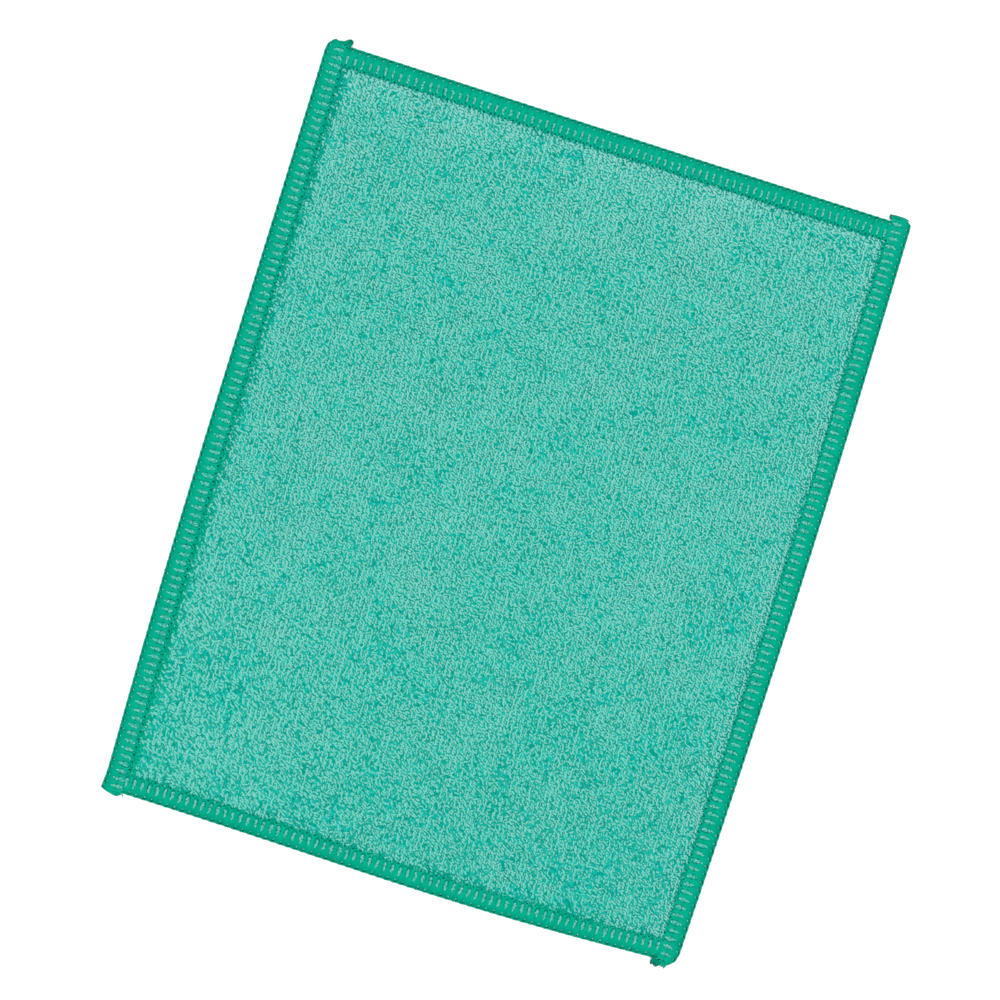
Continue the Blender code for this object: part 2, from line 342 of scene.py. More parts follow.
def ground_sheet(material):
    """The knit as one closed sheet: pressed thin in the edging, with a shoulder and a valley beside it."""
    shares_x = edge_shares([0.0, 0.003, 0.008, 0.014], 0.02, COLUMNS - 8)
    shares_y = edge_shares([0.0, 0.0024, 0.006, 0.011], 0.016, ROWS - 8)
    across, up = np.meshgrid(shares_x, shares_y)
    x, y = inside(across.ravel(), up.ravel(), SHEET_INSET)
    # rounded corners
    margin = SHEET_INSET + SHEET_CORNER
    centre_x = np.clip(x, margin - offset("left", y), offset("right", y) - margin)
    centre_y = np.clip(y, margin - offset("bottom", x), offset("top", x) - margin)
    away = np.hypot(x - centre_x, y - centre_y)
    pull = np.where(away > SHEET_CORNER, SHEET_CORNER / np.maximum(away, 1e-6), 1.0)
    x, y = centre_x + (x - centre_x) * pull, centre_y + (y - centre_y) * pull
    outer, inner = edge_share(x, y)
    lumps = 0.10 * field(x, y, 1.9, 11) + 0.06 * field(x, y, 5.0, 12)
    rise = smooth((outer - SHEET_INSET) / HEM)
    upper = SHEET_MIDDLE + SHEET_HALF + 0.60 * rise + 0.40 * smooth((inner - 0.2) / 2.0) + lumps * rise
    upper -= 0.15 * np.exp(-((inner + 0.1) / 0.45) ** 2)
    lower = SHEET_MIDDLE - SHEET_HALF - 1.15 * rise - 0.22 * smooth(inner / 1.5) + 0.5 * (lumps + 0.16) * rise
    wide, count = len(shares_x), len(x)
    points = np.concatenate([np.stack([x, y, upper], 1), np.stack([x, y, lower], 1)])
    row, column = np.meshgrid(np.arange(len(shares_y) - 1), np.arange(wide - 1), indexing="ij")
    first = (row * wide + column).ravel()
    quads = np.stack([first, first + 1, first + 1 + wide, first + wide], 1)
    tall = len(shares_y)
    rim = np.concatenate([
        np.arange(wide - 1), wide - 1 + wide * np.arange(tall - 1),
        count - 1 - np.arange(wide - 1), wide * (tall - 1) - wide * np.arange(tall - 1)])
    ahead = np.roll(rim, -1)
    wall = np.stack([rim, rim + count, ahead + count, ahead], 1)
    loops = np.concatenate([quads.ravel(), (quads[:, ::-1] + count).ravel(), wall.ravel()])
    starts = 4 * np.arange(len(loops) // 4)
    return add_mesh("cloth_ground", points, loops, starts, None, material)


# ---------------------------------------------------------------- terry pile
ARCHES = {  # stations along a loop: place along it, height, how far it bows out, thickness
    "loop": ((-1.0, -0.48, 0.48, 1.0), (0.66, 0.96, 0.96, 0.66),
             (-0.35, 0.6, 0.6, -0.35), (0.0, 1.0, 1.0, 0.0)),
    "tip": ((-1.0, 0.0, 1.0), (0.68, 1.0, 0.68), (-0.3, 0.7, -0.3), (0.0, 1.0, 0.0)),
}


def arches(kind, x, y, axis, length, bulge, base, high, radius):
    """Paths of loops that stand as arches along `axis` and bow out to its right, with heights and radii."""
    count = len(x)
    steps, rise, bow, thick = (np.array(row) for row in ARCHES[kind])
    ahead = np.stack([np.cos(axis), np.sin(axis)], 1)
    out = np.stack([np.sin(axis), -np.cos(axis)], 1)
    along = 0.5 * length[:, None] * steps
    side = bulge[:, None] * bow
    paths = np.empty((count, len(steps), 3))
    for k in (0, 1):
        paths[:, :, k] = (x if k == 0 else y)[:, None] + ahead[:, k:k + 1] * along + out[:, k:k + 1] * side
    paths[:, :, 2] = base + (high - base)[:, None] * rise - radius[:, None] * 0.7
    across = np.concatenate([-out, np.zeros((count, 1))], 1)
    return paths, across, radius[:, None] * thick


def scatter(random, step_x, step_y, share, jitter):
    """Places of the knit's loops: a rectangular lattice, of which a share is kept, with some jitter."""
    columns, rows = int(160 / step_x) + 2, int(206 / step_y) + 2
    column, row = np.meshgrid(np.arange(columns), np.arange(rows))
    x, y = (column.ravel() - columns / 2) * step_x, (row.ravel() - rows / 2) * step_y
    kept = random.uniform(0, 1, len(x)) < share
    x, y = x[kept], y[kept]
    x = x - 0.03 * y + 0.16 * field(x, y, 5.0, 18) + 0.12 * field(x, y, 11.0, 19)
    y = y + 0.16 * field(x, y, 6.0, 17)
    x = x + jitter * random.normal(0, 1, len(x))
    y = y + jitter * random.normal(0, 1, len(x))
    keep = (edge_share(x, y)[0] > 2.2) & (np.abs(x) < 79) & (np.abs(y) < 101)
    return x[keep], y[keep]


def cloud(x, y):
    """Slow change of the pile from place to place."""
    return 0.5 * field(x, y, 4.0, 24) + 0.5 * field(x, y, 9.0, 25) + 0.5 * field(x, y, 16.0, 26)


#     kind   place in the lattice   share  jitter   length         radius        height  strays
LAYERS = (
    ("loop", (0.0, 0.0), 1.0, 0.09, (1.15, 1.70), (0.24, 0.33), 0.00, 0.26),
    ("tip", (0.5, 0.5), 1.0, 0.12, (1.05, 1.50), (0.26, 0.35), 0.00, 0.70),
    ("tip", (0.5, 0.0), 0.6, 0.14, (0.90, 1.30), (0.22, 0.30), -0.08, 0.70),
)
FLOW = 128.0  # direction that most loops run in, in degrees
FLOW_DRIFT = 10.0
LEAN_SPREAD = 21.0
LEAN_DRIFT = 18.0
HEIGHT_SPREAD = 0.05
BULGE, BULGE_SPREAD = 0.26, 0.14  # how far a loop bows out to its right
PRESSED = 2.5  # height that the edging presses the pile down to
# painted shade: loops whose roots show are coloured at these lightnesses, deeper than the rest
ROOT_PAINTED_SHADE = (0.36, 0.66)  # how light the loops are whose roots show


def directions(random, x, y, stray_share):
    """Directions of the loops in degrees: a slow flow with a spread about it, and a share of strays."""
    up, count = y / 100.0, len(x)
    flow = FLOW + FLOW_DRIFT * field(x, y, 12.0, 20) + 8.0 * smooth(up)
    lean = flow + LEAN_SPREAD * random.normal(0, 1, count) + LEAN_DRIFT * field(x, y, 3.0, 21)
    stray = random.uniform(0, 1, count) < stray_share + 0.08 * up
    return np.where(stray, random.uniform(0, 180, count), lean)


def shaded_roots_share(near, inner):
    """Share of the roots that shows, where loops sit lower and are coloured deeper as painted shade: most
    along the left and the bottom run, for loops lean up and right.
    """
    left = 1.0 - smooth((near["left"] - 5.6) / 4.0)
    bottom = 0.7 * (1.0 - smooth((near["bottom"] - 5.0) / 1.6))
    return np.maximum(np.maximum(left, bottom), 0.4 * (1.0 - smooth((inner + 0.1) / 0.8)))


def pile_layer(random, kind, shift, share, jitter, lengths, radii, lift, stray_share):
    """One layer of loops: its kind, and arrays of places, directions, sizes, painted shade and tints."""
    x, y = scatter(random, WALE, COURSE, share, jitter)
    x, y = x + shift[0] * WALE, y + shift[1] * COURSE
    count = len(x)
    near = edge_distance(x, y)
    inner = edge_share(x, y)[1]
    up, soft = y / 100.0, cloud(x, y)
    lean = directions(random, x, y, stray_share)
    high = TERRY_TOP + lift + 0.04 * soft + random.normal(0, HEIGHT_SPREAD, count)
    length = random.uniform(*lengths, count)
    bulge = random.normal(BULGE, BULGE_SPREAD, count)
    radius = random.uniform(*radii, count)
    shoulder = smooth((inner + 0.5) / 1.6)
    under_thread = 2.48 + random.normal(0, 0.04, count)
    high = np.where(inner > -0.2, PRESSED + (high - PRESSED) * shoulder, under_thread)
    roots = shaded_roots_share(near, inner)
    painted_dimming = np.where(random.uniform(0, 1, count) < 0.75 * roots, random.uniform(*ROOT_PAINTED_SHADE, count), 1.0)
    # the pile is fuller along the top and bolder at the lower left; low down more loops sit lower and are
    # coloured deeper, painted shade
    crowded = np.exp(-np.maximum(near["top"] - 6.5, 0.0) / 8.0)
    low = smooth((-up - 0.1) / 0.8) + 0.6 * np.exp(-np.maximum(near["bottom"] - 5.0, 0.0) / 5.0)
    bold = np.exp(-near["left"] / 30.0) * smooth(-1.3 * up)
    radius = radius * (1.0 + 0.45 * crowded + 0.30 * bold)
    length = length * (1.0 + 0.30 * bold)
    # painted shade: a share of loops sit lower and are coloured deeper
    deep = random.uniform(0, 1, count) < 0.10 - 0.12 * soft + 0.15 * low - 0.10 * crowded
    painted_dimming = np.where(deep, 0.60 * painted_dimming, painted_dimming)
    high = high - 0.06 * roots - 0.12 * deep
    painted_dimming = np.where(inner < -0.4, 1.0, painted_dimming)
    # painted light: the tint is paler towards the top and along the top run and deeper low down; it is also
    # paler in a band just inside the right run
    tint = 0.52 + 0.04 * up + 0.08 * soft + random.normal(0, 0.06, count) + 0.22 * crowded - 0.09 * low
    tint += 0.14 * np.exp(-((near["right"] - 7.5) / 2.2) ** 2)
    # painted shade: where roots show, the deeper-coloured loops also get a deeper tint
    tint -= 0.50 * (painted_dimming < 0.67) * roots
    tints = np.clip(np.where(inner < -0.4, 0.70, tint), 0.01, 0.99)
    return kind, x, y, np.radians(lean), length, bulge, high, radius, painted_dimming, tints


def pile(material):
    """Terry loops: one at each place of the knit, with the tips of others between, in bands up the cloth."""
    random = np.random.default_rng(2)
    layers = [pile_layer(random, *row) for row in LAYERS]
    made = []
    for number in range(PILE_BANDS):
        parts = []
        for kind, *values in layers:
            band = np.clip(((values[1] + 102.0) / 204.0 * PILE_BANDS).astype(int), 0, PILE_BANDS - 1)
            x, y, lean, length, bulge, high, radius, painted_dimming, tints = (a[band == number] for a in values)
            paths, across, radii = arches(kind, x, y, lean, length, bulge, TERRY_BASE, high, radius)
            # painted shade and sheen: a loop is coloured by how high it lies, deeper green low in the pile,
            # pale at its top
            tall = (paths[:, :, 2] - TERRY_BASE + 0.20) / (TERRY_TOP - TERRY_BASE)
            shades = np.clip(tall, 0, 1) * painted_dimming[:, None]
            parts.append(strands(paths, across, radii, shades, tints, flat=0.32, painted_ridge_shade=0.36))
        made.append(add_mesh(f"terry_loops_{number + 1}", *joined(parts), material))
    return made


# ---------------------------------------------------------------- edging
# Path of the thread over the edge: distance inwards, height, half the width of a leg in pitches, radius.
#     w     z    half  radius
SECTION = (
    (4.90, 0.45, 0.25, 0.00),
    (3.30, 0.24, 0.34, 0.17),
    (1.10, 0.31, 0.43, 0.21),
    (0.45, 0.80, 0.42, 0.20),
    (0.22, 1.45, 0.40, 0.19),
    (0.36, 2.08, 0.34, 0.19),
    (0.72, 2.50, 0.31, 0.18),
    (1.15, 2.72, 0.43, 0.26),
    (1.65, 2.81, 0.45, 0.28),
    (2.15, 2.84, 0.42, 0.26),
)
LEG_W = (2.70, 3.15, 3.60, 4.30, 5.05)  # distance inwards of the legs' further points
LEG_Z = (2.88, 2.83, 2.72, 2.82, 2.80)
LEG_RADIUS = (0.21, 0.18, 0.16, 0.15, 0.15)
LEG_HALF = {  # half the width of a leg there, in pitches
    "left": (0.28, 0.21, 0.16, 0.09, 0.13),
    "right": (0.28, 0.21, 0.17, 0.11, 0.14),
    "top": (0.26, 0.21, 0.20, 0.25, 0.32),
    "bottom": (0.28, 0.21, 0.18, 0.16, 0.20),
}
WINDOWS = {  # outline of a window: distances inwards, and half its width there in millimetres
    "left": ((1.75, 3.10, 4.45, 5.25, 5.65), (0.0, 0.56, 0.62, 0.42, 0.0)),
    "right": ((1.75, 3.10, 4.40, 5.20, 5.60), (0.0, 0.56, 0.60, 0.38, 0.0)),
    "top": ((2.00, 2.90, 3.80, 4.70, 5.30), (0.0, 0.46, 0.48, 0.25, 0.0)),
    "bottom": ((1.80, 3.00, 3.90, 4.60, 5.00), (0.0, 0.54, 0.52, 0.34, 0.0)),
}
# share of windows that a thread crosses
CROSSED = {"left": 0.85, "right": 0.75, "top": 0.12, "bottom": 0.55}
NEEDLE = {"left": 5.75, "right": 5.70, "top": 5.45, "bottom": 5.35}  # distance inwards of the needle line
STROKES = {"left": 5, "right": 5, "top": 3, "bottom": 5}  # strands of terry that show in a window
# Loose ends of thread at the ends of the long runs: where they start and end, how wide they are there, how
# many strands, and how light the start and the end are.
#               from              to             wide        n    light
LOOSE_ENDS = {
    "left": (((-73.9, 99.0), (-72.5, 101.3), (2.4, 0.8), 18, (0.65, 0.20)),
             ((-77.2, 99.4), (-73.2, 100.2), (0.9, 0.5), 8, (0.60, 0.45)),
             ((-73.6, -98.9), (-74.2, -100.6), (4.6, 3.2), 24, (0.75, 0.60)),
             ((-76.8, -99.6), (-71.9, -100.65), (0.5, 0.6), 6, (0.60, 0.65))),
    "right": (((71.7, 99.7), (76.7, 99.7), (0.9, 0.7), 12, (0.35, 0.50)),
              ((75.9, 98.9), (77.6, 97.8), (1.4, 0.3), 8, (0.40, 0.10)),
              ((74.0, -98.9), (73.6, -100.9), (2.4, 1.8), 12, (0.75, 0.60)),
              ((72.2, -98.8), (71.7, -101.1), (2.6, 1.9), 18, (0.60, 0.15))),
}
LEG_STRANDS = 6
# painted light and shade: how light the thread is coloured at a distance inwards, on the upper side, lowest
# beside the rim's holes and rising towards the legs
THREAD_PAINTED_SHADE = ((0.30, 0.55, 0.80, 1.20, 1.60, 2.00, 2.40, 4.40, 5.00),
                (1.00, 0.75, 0.44, 0.58, 0.73, 0.85, 0.90, 0.86, 1.00))
RIM_AHEAD = 0.40  # the rim runs ahead of the legs, clockwise, in pitches
PITCH = 2.05  # rough length of a stitch, which turns millimetres into pitches
UPPER_SIDE = 1.8  # thread above this height is on the upper side
CROSSING_AT = 3.62  # distance inwards of the thread across a window

# Threads that repeat at each stitch, from end to end. Along the run is in pitches, w is inwards, z is height.
# Light, where a table has it, is how light a thread is coloured; a rim link's ends are coloured deeper,
# painted shade where it dives under other threads.
#             along   w     z     radius  light
RIM_LINK = ((-0.50, 0.95, 2.45, 0.00, 0.30), (-0.30, 0.62, 2.42, 0.14, 0.60), (-0.02, 0.36, 2.22, 0.17, 1.00),
            (0.25, 0.26, 1.95, 0.17, 1.00), (0.45, 0.34, 1.65, 0.15, 0.90), (0.60, 0.42, 1.45, 0.00, 0.50))
# strands in the rim's holes, coloured deepest: painted shade
#              w     z     radius
RIM_HOLE_SHADE = ((0.42, 1.85, 0.00), (0.60, 2.20, 0.26), (0.86, 2.32, 0.24), (1.04, 2.15, 0.00))
#             along   w     slant    z     radius
CROSSING = ((-0.34, -0.10, -1.0, 2.62, 0.00), (-0.18, 0.02, -0.5, 2.80, 0.11), (0.00, 0.08, 0.0, 2.84, 0.12),
            (0.18, 0.02, 0.5, 2.80, 0.11), (0.34, -0.10, 1.0, 2.62, 0.00))
#          length   z     radius
SHADE_NICK = ((-1.0, 2.55, 0.0), (-0.4, 2.76, 1.0), (0.4, 2.76, 1.0), (1.0, 2.50, 0.0))
# painted shade beside a leg, where the needle thread goes down: distance inwards, half length, radius
SHADE_NICKS = ((3.58, 0.34, 0.11), (5.02, 0.26, 0.08))
# a deep-coloured strand in the needle's hole at each leg's inner end: painted shade
#                 w     z     radius
NEEDLE_HOLE_SHADE = ((-0.20, 2.70, 0.00), (0.00, 2.55, 0.17), (0.16, 2.40, 0.14), (0.26, 2.20, 0.00))
#         along   w     z     radius
BOW = ((-0.37, -0.75, 2.60, 0.00), (-0.30, -0.28, 2.80, 0.16), (0.00, 0.16, 2.84, 0.18),
       (0.30, -0.28, 2.80, 0.16), (0.37, -0.75, 2.60, 0.00))
# painted shade: the pads are coloured low on the terry's ramp, deepest at the window's ends where the legs
# close over them
PAD_PAINTED_SHADE = (0.30, 0.46, 0.42, 0.36, 0.20)
# a stroke's sunken ends are coloured deeper: painted shade
#           length  bend  sunk  radius light
STROKE = ((-1.0, -0.8, 0.16, 0.0, 0.50), (-0.5, 0.6, 0.00, 1.0, 0.78), (0.5, 0.6, 0.00, 1.0, 0.78),
          (1.0, -0.8, 0.16, 0.0, 0.50))
#         along   w     z     radius
TUFT = ((0.00, 0.98, 2.55, 0.00), (0.02, 1.10, 2.86, 0.17), (0.03, 1.30, 2.93, 0.15),
        (0.05, 1.50, 2.80, 0.00))


def long_outline(side):
    """(places up the side, outer line, inner line) of a long run."""
    sign = -1.0 if side == "left" else 1.0
    tips = {}
    for end in (-1, 1):
        reach, radius, flare = RUN_ENDS[side, end]
        inner_x = sign * (offset(side, end * HALF_LENGTH) - RUN_WIDTH[side])
        edge = offset("top" if end > 0 else "bottom", inner_x)
        tips[end] = (end * (edge + reach), radius, flare)
    y = np.linspace(tips[-1][0], tips[1][0], 1200)
    turned = np.zeros_like(y)
    for end, (tip, radius, flare) in tips.items():
        into = np.clip(1.0 - np.abs(tip - y) / radius, 0.0, 1.0)
        turned += radius * (1.0 - np.sqrt(1.0 - (0.995 * into) ** 2)) * 0.9
        turned -= flare * np.clip(1.0 - np.abs(tip - y) / FLARE_LENGTH, 0.0, 1.0) ** 2
    outer = np.stack([sign * (offset(side, y) - turned), y], 1)
    inner = np.stack([sign * (offset(side, y) - RUN_WIDTH[side]), y], 1)
    return y, outer, inner


def short_outline(side):
    """(places along the side, outer line, inner line) of a short run."""
    sign = 1.0 if side == "top" else -1.0
    edge = sign * (offset(side, 0.0) - RUN_WIDTH[side])
    low = -(offset("left", edge) - RUN_WIDTH["left"]) - 0.6
    high = offset("right", edge) - RUN_WIDTH["right"] + 0.6
    x = np.linspace(low, high, 900)
    outer = np.stack([x, sign * offset(side, x)], 1)
    inner = np.stack([x, sign * (offset(side, x) - RUN_WIDTH[side])], 1)
    return x, outer, inner


def stations(values, count):
    return np.tile(np.array(values, float), (count, 1))


def columns(table, count):
    """Each column of a table of stations, repeated for `count` strands."""
    return [stations(column, count) for column in zip(*table)]


def loose_end(random, start, end, widths, count, light):
    """A bundle of strands from one place to another, closer together and lower at its end."""
    share = stations([0.0, 0.35, 0.75, 1.0], count)
    start, end = np.array(start), np.array(end)
    ahead = (end - start) / np.linalg.norm(end - start)
    out = np.array([ahead[1], -ahead[0]])
    at = np.linspace(-0.5, 0.5, count)[:, None] + random.normal(0, 0.06, (count, 1))
    far = 1.0 + random.normal(0, 0.07, (count, 1))
    along = (np.linalg.norm(end - start) * far * share)[..., None]
    wide = widths[0] + (widths[1] - widths[0]) * share
    sideways = (at * wide + random.normal(0, 0.08, share.shape))[..., None]
    z = 2.30 + random.normal(0, 0.14, (count, 1)) + stations([0.1, 0.3, 0.1, -0.4], count)
    paths = np.concatenate([start + ahead * along + out * sideways, z[..., None]], -1)
    radii = stations([0.0, 0.27, 0.24, 0.0], count) * random.uniform(0.8, 1.2, (count, 1))
    shades = (light[0] + (light[1] - light[0]) * share) * random.uniform(0.75, 1.25, (count, 1))
    tints = np.clip(random.normal(0.5, 0.15, count), 0.01, 0.99)
    across = np.tile([*-out, 0.0], (count, 1))
    return strands(paths, across, radii, np.clip(shades, 0, 1), tints, flat=0.6, painted_ridge_shade=0.2)


class Run:
    """One side's run of overlocking: its outline, its stitches, and where a thread lies on it."""

    def __init__(self, side):
        self.side = side
        self.sign = CLOCKWISE[side]
        self.random = np.random.default_rng(40 + list(SIDES).index(side))
        places, self.outer, self.inner = (long_outline if side in LOOSE_ENDS else short_outline)(side)
        terms = enumerate(STITCHES[side])
        self.number = sum(factor * (places / 100.0) ** power for power, factor in terms)
        self.first, self.last = self.number[0], self.number[-1]
        self.legs = np.arange(math.ceil(self.first - 0.5), math.floor(self.last - 0.5) + 1) + 0.5
        self.windows = np.arange(math.ceil(self.first), math.floor(self.last) + 1).astype(float)
        if side in LOOSE_ENDS:
            self.windows = self.windows[1:-1]

    def place(self, kappa, w, z):
        """Points from stitch number, distance inwards and height, all (strands, stations)."""
        ahead = self.sign * RIM_AHEAD * np.clip(1.0 - w / 2.6, 0.0, 1.0)
        at = np.clip(kappa + ahead, self.first, self.last)
        near = np.stack([np.interp(at, self.number, self.outer[:, axis]) for axis in (0, 1)], -1)
        far = np.stack([np.interp(at, self.number, self.inner[:, axis]) for axis in (0, 1)], -1)
        flat = near + (far - near) * (w / RUN_WIDTH[self.side])[..., None]
        return np.concatenate([flat, z[..., None]], -1)

    def beside(self, kappa):
        """Direction clockwise along the run at the start of each strand."""
        low, high = kappa[:, :1] - 0.2 * self.sign, kappa[:, :1] + 0.2 * self.sign
        flat = np.zeros_like(low)
        return unit((self.place(high, flat + 3.0, flat) - self.place(low, flat + 3.0, flat))[:, 0])

    def spread(self, amount, count):
        """A chance shift for each of `count` strands, the same at all its stations."""
        return self.random.normal(0, amount, (count, 1))

    def tints(self, middle, amount, count):
        return np.clip(middle + self.random.normal(0, amount, count), 0.01, 0.99)


def leg_threads(run):
    """Legs: over the edge, together between the windows, and apart again at the needle line."""
    random, count = run.random, len(run.legs)
    leg = np.repeat(run.legs, LEG_STRANDS)
    n = len(leg)
    fan = np.tile(np.linspace(-1.0, 1.0, LEG_STRANDS), count)
    # a leg's middle strand, where it has one, closes to either side by chance
    half = np.where(fan == 0.0, np.where(random.uniform(0, 1, n) < 0.5, 1.0, -1.0), np.sign(fan))
    depth = 1.0 - np.abs(fan)
    further = (LEG_W, LEG_Z, LEG_HALF[run.side], LEG_RADIUS)
    w, z, spread, radii = (
        stations((*under, *over), n) for under, over in zip(zip(*SECTION), further))
    thick = np.repeat(random.normal(1.0, 0.10, count), LEG_STRANDS)
    spread[:, len(SECTION):] *= thick[:, None]
    lean = np.repeat(random.normal(0.0, 0.03, count), LEG_STRANDS)
    a = fan[:, None] * spread + lean[:, None] + run.spread(0.010, n) + random.normal(0, 0.007, spread.shape)
    z = z + 0.06 * (1 - fan[:, None] ** 2) * np.sign(z - 1.5) + run.spread(0.02, n)
    w[:, 6:] += run.spread(0.03, n)
    # the last three stations close round the needle's stitch
    needle = NEEDLE[run.side] + 0.10 * random.normal(0, 1, n)
    close_w = np.stack(
        [needle - 0.22 + 0.02 * depth, needle + 0.10 - 0.12 * depth, needle + 0.16 - 0.15 * depth], 1)
    close_a = half[:, None] * np.stack([0.25 - 0.04 * depth, 0.40 - 0.02 * depth, 0.56 + 0 * depth], 1)
    close_z = stations([2.78, 2.74, 2.55], n) - 0.05 * depth[:, None]
    w, z = np.concatenate([w, close_w], 1), np.concatenate([z, close_z], 1)
    a = np.concatenate([a, close_a + lean[:, None]], 1)
    radii = np.concatenate([radii, stations([0.13, 0.14, 0.0], n)], 1)
    kappa = leg[:, None] + a
    # painted shade: the thread is coloured deeper low on the edge and underneath
    shades = 0.45 + 0.55 * smooth((z - 0.6) / 1.4)
    shades *= np.where(z > UPPER_SIDE, np.interp(w, *THREAD_PAINTED_SHADE), 1.0)
    # painted shade on the outer strands of each leg, beside the rim's holes and beside the needle thread's
    # nick
    for at, power in ((0.75, 2), (3.60, 3)):
        leg_edge_painted_shade = 0.35 * np.exp(-((w - at) / 0.25) ** 2) * np.abs(fan[:, None]) ** power
        shades *= 1.0 - leg_edge_painted_shade * (z > UPPER_SIDE)
    # painted shade: the outermost strands of each leg get a deeper tint
    tints = np.clip(0.5 + random.normal(0, 0.20, n) - 0.15 * (np.abs(fan) > 0.9), 0.01, 0.99)
    return strands(run.place(kappa, w, z), run.beside(kappa), radii, shades, tints, flat=0.6, painted_ridge_shade=0.32)


def rim_chain(run, wobble):
    """Chain along the rim: a link from each hole over the outer line to the next."""
    n = len(run.windows)
    along, w, z, radii, shades = columns(RIM_LINK, n)
    kappa = run.windows[:, None] + wobble + run.sign * (along - 0.05)
    z = z + run.spread(0.03, n)
    tints = run.tints(0.85, 0.12, n)
    return strands(run.place(kappa, w, z), stations([0, 0, 1], n), radii, shades, tints, sides=4, painted_ridge_shade=0.15)


def rim_hole_shades(run, wobble):
    """Strands in the holes between the links, coloured at the foot of the ramp: painted shade inside the
    holes.
    """
    n = len(run.windows)
    w, z, radii = columns(RIM_HOLE_SHADE, n)
    kappa = run.windows[:, None] + wobble + 0 * w
    radii = radii * run.random.uniform(0.8, 1.2, (n, 1))
    return strands(run.place(kappa, w, z), run.beside(kappa), radii, 0.06 + 0 * radii, np.full(n, 0.5))


def crossing_threads(run):
    """A thread across some of the windows."""
    crossed = run.windows[run.random.uniform(0, 1, len(run.windows)) < CROSSED[run.side]]
    n = len(crossed)
    along, bowed, slope, z, radii = columns(CROSSING, n)
    slant = run.spread(0.16, n)
    kappa = crossed[:, None] + along
    w = CROSSING_AT + bowed + slant * slope
    w += run.spread(0.10, n)
    radii = radii * run.random.uniform(0.8, 1.25, (n, 1))
    tints = run.tints(0.4, 0.15, n)
    return strands(run.place(kappa, w, z), stations([0, 0, 1], n), radii, 0.8 + 0 * radii, tints, painted_ridge_shade=0.2)


def shade_nicks(run, at, long, size, end):
    """Painted shade where the needle thread goes down: a short deep-coloured strand on one side of each leg.
    """
    n = len(run.legs)
    length, z, radii = columns(SHADE_NICK, n)
    beyond = np.interp(at, LEG_W, LEG_HALF[run.side]) + 0.055
    kappa = run.legs[:, None] + end * beyond + 0 * length + run.spread(0.02, n)
    w = at + long * length + run.spread(0.06, n)
    radii = radii * size * run.random.uniform(0.5, 1.1, (n, 1))
    return strands(run.place(kappa, w, z), run.beside(kappa), radii, 0.20 + 0 * radii, np.full(n, 0.3))


def needle_hole_shades(run):
    """A strand coloured near the foot of the ramp at each leg's inner end: painted shade in the needle's
    hole.
    """
    n = len(run.legs)
    inwards, z, radii = columns(NEEDLE_HOLE_SHADE, n)
    kappa = run.legs[:, None] + run.spread(0.03, n) + 0 * inwards
    w = NEEDLE[run.side] + inwards
    radii = radii * run.random.uniform(0.75, 1.2, (n, 1))
    hole_shade = 0.04 + 0 * radii
    return strands(run.place(kappa, w, z), run.beside(kappa), radii, hole_shade, np.full(n, 0.3), sides=4)


def bows(run, wobble):
    """A thread that closes each window in a bow along the needle line."""
    n = len(run.windows)
    along, inwards, z, radii = columns(BOW, n)
    kappa = run.windows[:, None] + wobble + along
    w = NEEDLE[run.side] + inwards + run.spread(0.05, n)
    z = z + run.spread(0.02, n)
    radii = radii * run.random.uniform(0.9, 1.1, (n, 1))
    tints = run.tints(0.5, 0.12, n)
    light = 0.95 + 0 * radii
    return strands(run.place(kappa, w, z), stations([0, 0, 1], n), radii, light, tints, sides=4, painted_ridge_shade=0.2)


def window_pads(run, wobble, size):
    """The terry's body in each window, coloured low on the ramp as painted shade in the sunken window."""
    n = len(run.windows)
    outline_w, outline_half = (np.array(row) for row in WINDOWS[run.side])
    w = stations(outline_w, n)
    kappa = run.windows[:, None] + wobble + 0 * w
    radii = 1.3 * size * outline_half
    z = 2.60 - 0.25 * radii
    tints = run.tints(0.25, 0.06, n)
    light = stations(PAD_PAINTED_SHADE, n)
    paths = run.place(kappa, w, z)
    return strands(paths, run.beside(kappa), radii, light, tints, sides=4, flat=0.30, painted_ridge_shade=0.05)


def window_strokes(run, size, each):
    """One strand of terry in each window, further inwards with each number."""
    random, n = run.random, len(run.windows)
    outline_w, outline_half = (np.array(row) for row in WINDOWS[run.side])
    step, bent, sunk, radii, shades = columns(STROKE, n)
    share = (each + random.uniform(0.1, 0.9, n)) / STROKES[run.side]
    middle = outline_w[0] + 0.6 + (outline_w[-1] - outline_w[0] - 1.1) * share
    room = np.interp(middle, outline_w, outline_half) * size[:, 0]
    sideways = random.uniform(-0.7, 0.7, n) * np.maximum(room - 0.15, 0.0)
    angle = random.normal(0.0, 0.25 + 0.7 * share, n)
    length = random.uniform(0.42, 0.62, n)
    bend = run.spread(0.14, n) * bent
    w = middle[:, None] + (length * np.cos(angle))[:, None] * step - np.sin(angle)[:, None] * bend
    part = sideways[:, None] + (length * np.sin(angle))[:, None] * step + np.cos(angle)[:, None] * bend
    kappa = run.windows[:, None] + part / PITCH
    z = 2.80 + run.spread(0.05, n) - sunk
    radii = radii * random.uniform(0.19, 0.28, (n, 1))
    tints = run.tints(0.45, 0.10, n)
    return strands(run.place(kappa, w, z), run.beside(kappa), radii, shades, tints, flat=0.5, painted_ridge_shade=0.2)


def rim_tufts(run):
    """A tuft of terry behind each hole of the rim."""
    n = len(run.windows)
    along, w, z, radii = columns(TUFT, n)
    size = run.random.uniform(0.4, 1.05, (n, 1))
    kappa = run.windows[:, None] + run.sign * 0.05 + run.spread(0.04, n) + along * run.sign
    w = w + run.spread(0.04, n)
    radii = radii * size
    tints = run.tints(0.42, 0.12, n)
    return strands(run.place(kappa, w, z), run.beside(kappa), radii, 0.85 + 0 * radii, tints, sides=4)


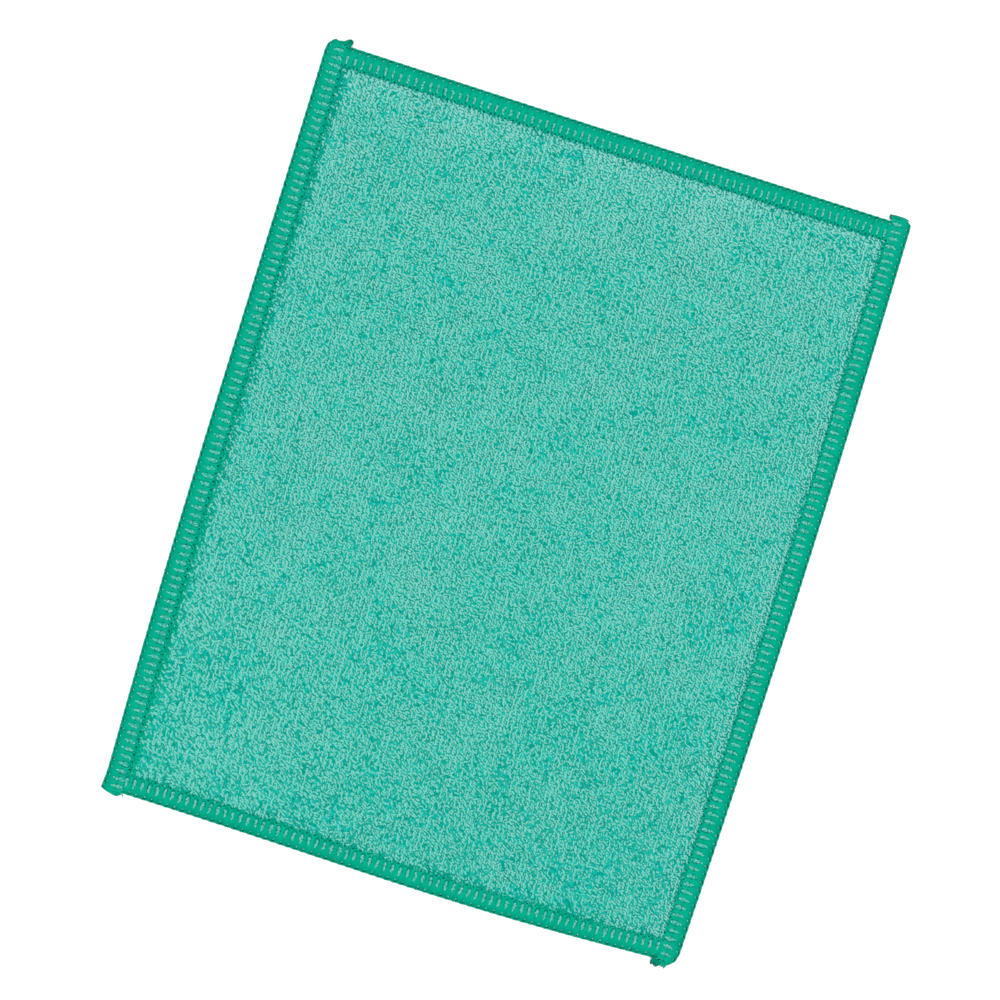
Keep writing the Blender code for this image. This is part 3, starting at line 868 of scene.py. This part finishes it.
def edging(side, material):
    """One run of overlocking: its thread as a piece, and the terry that shows through it as strands."""
    run = Run(side)
    batches = [loose_end(run.random, *tail) for tail in LOOSE_ENDS.get(side, ())]
    batches.append(leg_threads(run))
    wobble = run.spread(0.03, len(run.windows))
    batches += [rim_chain(run, wobble), rim_hole_shades(run, wobble), crossing_threads(run)]
    batches += [shade_nicks(run, *row, end) for row in SHADE_NICKS for end in (-1, 1)]
    batches.append(needle_hole_shades(run))
    if side != "top":
        batches.append(bows(run, wobble))
    size = run.random.uniform(0.75, 1.1, (len(run.windows), 1))
    pale = [window_pads(run, wobble, size)]
    pale += [window_strokes(run, size, each) for each in range(STROKES[side])]
    pale.append(rim_tufts(run))
    return add_mesh("edging_thread_" + side, *joined(batches), material), pale


# ---------------------------------------------------------------- stage
VIEW_MIDDLE = (-1.32, 0.60)  # what the camera looks straight down at
VIEW_WIDTH = 256.4
VIEW_TURN = 17.47  # in degrees
SENSOR, LENS = 36.0, 100.0
FLOOR_HALF, FLOOR_Z = 3.0, -1e-5  # in metres
LIGHT_HEIGHT, LIGHT_SIZE = 1.15, 0.55  # in metres
LIGHT_POWER = 14.0  # in watts
SKY_STRENGTH = 0.55


def camera():
    data = bpy.data.cameras.new("camera")
    data.lens = LENS
    data.sensor_width = SENSOR
    made = bpy.data.objects.new("camera", data)
    made.location = (VIEW_MIDDLE[0] * MM, VIEW_MIDDLE[1] * MM, VIEW_WIDTH * MM * LENS / SENSOR)
    made.rotation_euler = (0.0, 0.0, math.radians(VIEW_TURN))
    bpy.context.scene.collection.objects.link(made)
    bpy.context.scene.camera = made


def area_light(name, place, size, power, aim=(0, 0, 0)):
    data = bpy.data.lights.new(name, "AREA")
    data.shape = "DISK"
    data.size = size
    data.energy = power
    made = bpy.data.objects.new(name, data)
    made.location = place
    made.rotation_euler = (Vector(aim) - Vector(place)).to_track_quat("-Z", "Y").to_euler()
    bpy.context.scene.collection.objects.link(made)


def stage():
    material = bpy.data.materials.new("floor")
    material.use_nodes = True
    tree, shader = nodes_of(material)
    shader.inputs["Base Color"].default_value = (0.93, 0.93, 0.93, 1.0)
    shader.inputs["Roughness"].default_value = 0.9
    mesh = bpy.data.meshes.new("floor")
    corners = [(x * FLOOR_HALF, y * FLOOR_HALF, FLOOR_Z) for x, y in ((-1, -1), (1, -1), (1, 1), (-1, 1))]
    mesh.from_pydata(corners, [], [(0, 1, 2, 3)])
    mesh.materials.append(material)
    floor = bpy.data.objects.new("floor", mesh)
    bpy.context.scene.collection.objects.link(floor)
    world = bpy.data.worlds.new("studio")
    world.use_nodes = True
    world.node_tree.nodes["Background"].inputs["Color"].default_value = (1.0, 1.0, 1.0, 1.0)
    world.node_tree.nodes["Background"].inputs["Strength"].default_value = SKY_STRENGTH
    bpy.context.scene.world = world
    area_light("key", (0.0, 0.0, LIGHT_HEIGHT), LIGHT_SIZE, LIGHT_POWER)
    bpy.context.scene.view_settings.view_transform = "Standard"


# ---------------------------------------------------------------- the whole
camera()
stage()

terry = strand_material("terry_pile", TERRY_RAMP, TERRY_TINTS, 0.95, 0.8, 0.02)
thread = strand_material("edging_yarn", THREAD_RAMP, THREAD_TINTS, 0.8, 0.6, 0.02)

ground = ground_sheet(ground_material())
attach(ground, "root")
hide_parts("cloth_panel")
loops = pile(terry)
for piece in loops:
    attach(piece, "root")
runs, shown = [], []
for side in SIDES:
    piece, pale = edging(side, thread)
    runs.append(piece)
    shown += pale
    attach(piece, "root")
    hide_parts("edging_" + side)
windows = add_mesh("terry_loops_edge", *joined(shown), terry)
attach(windows, "root")
loops.append(windows)
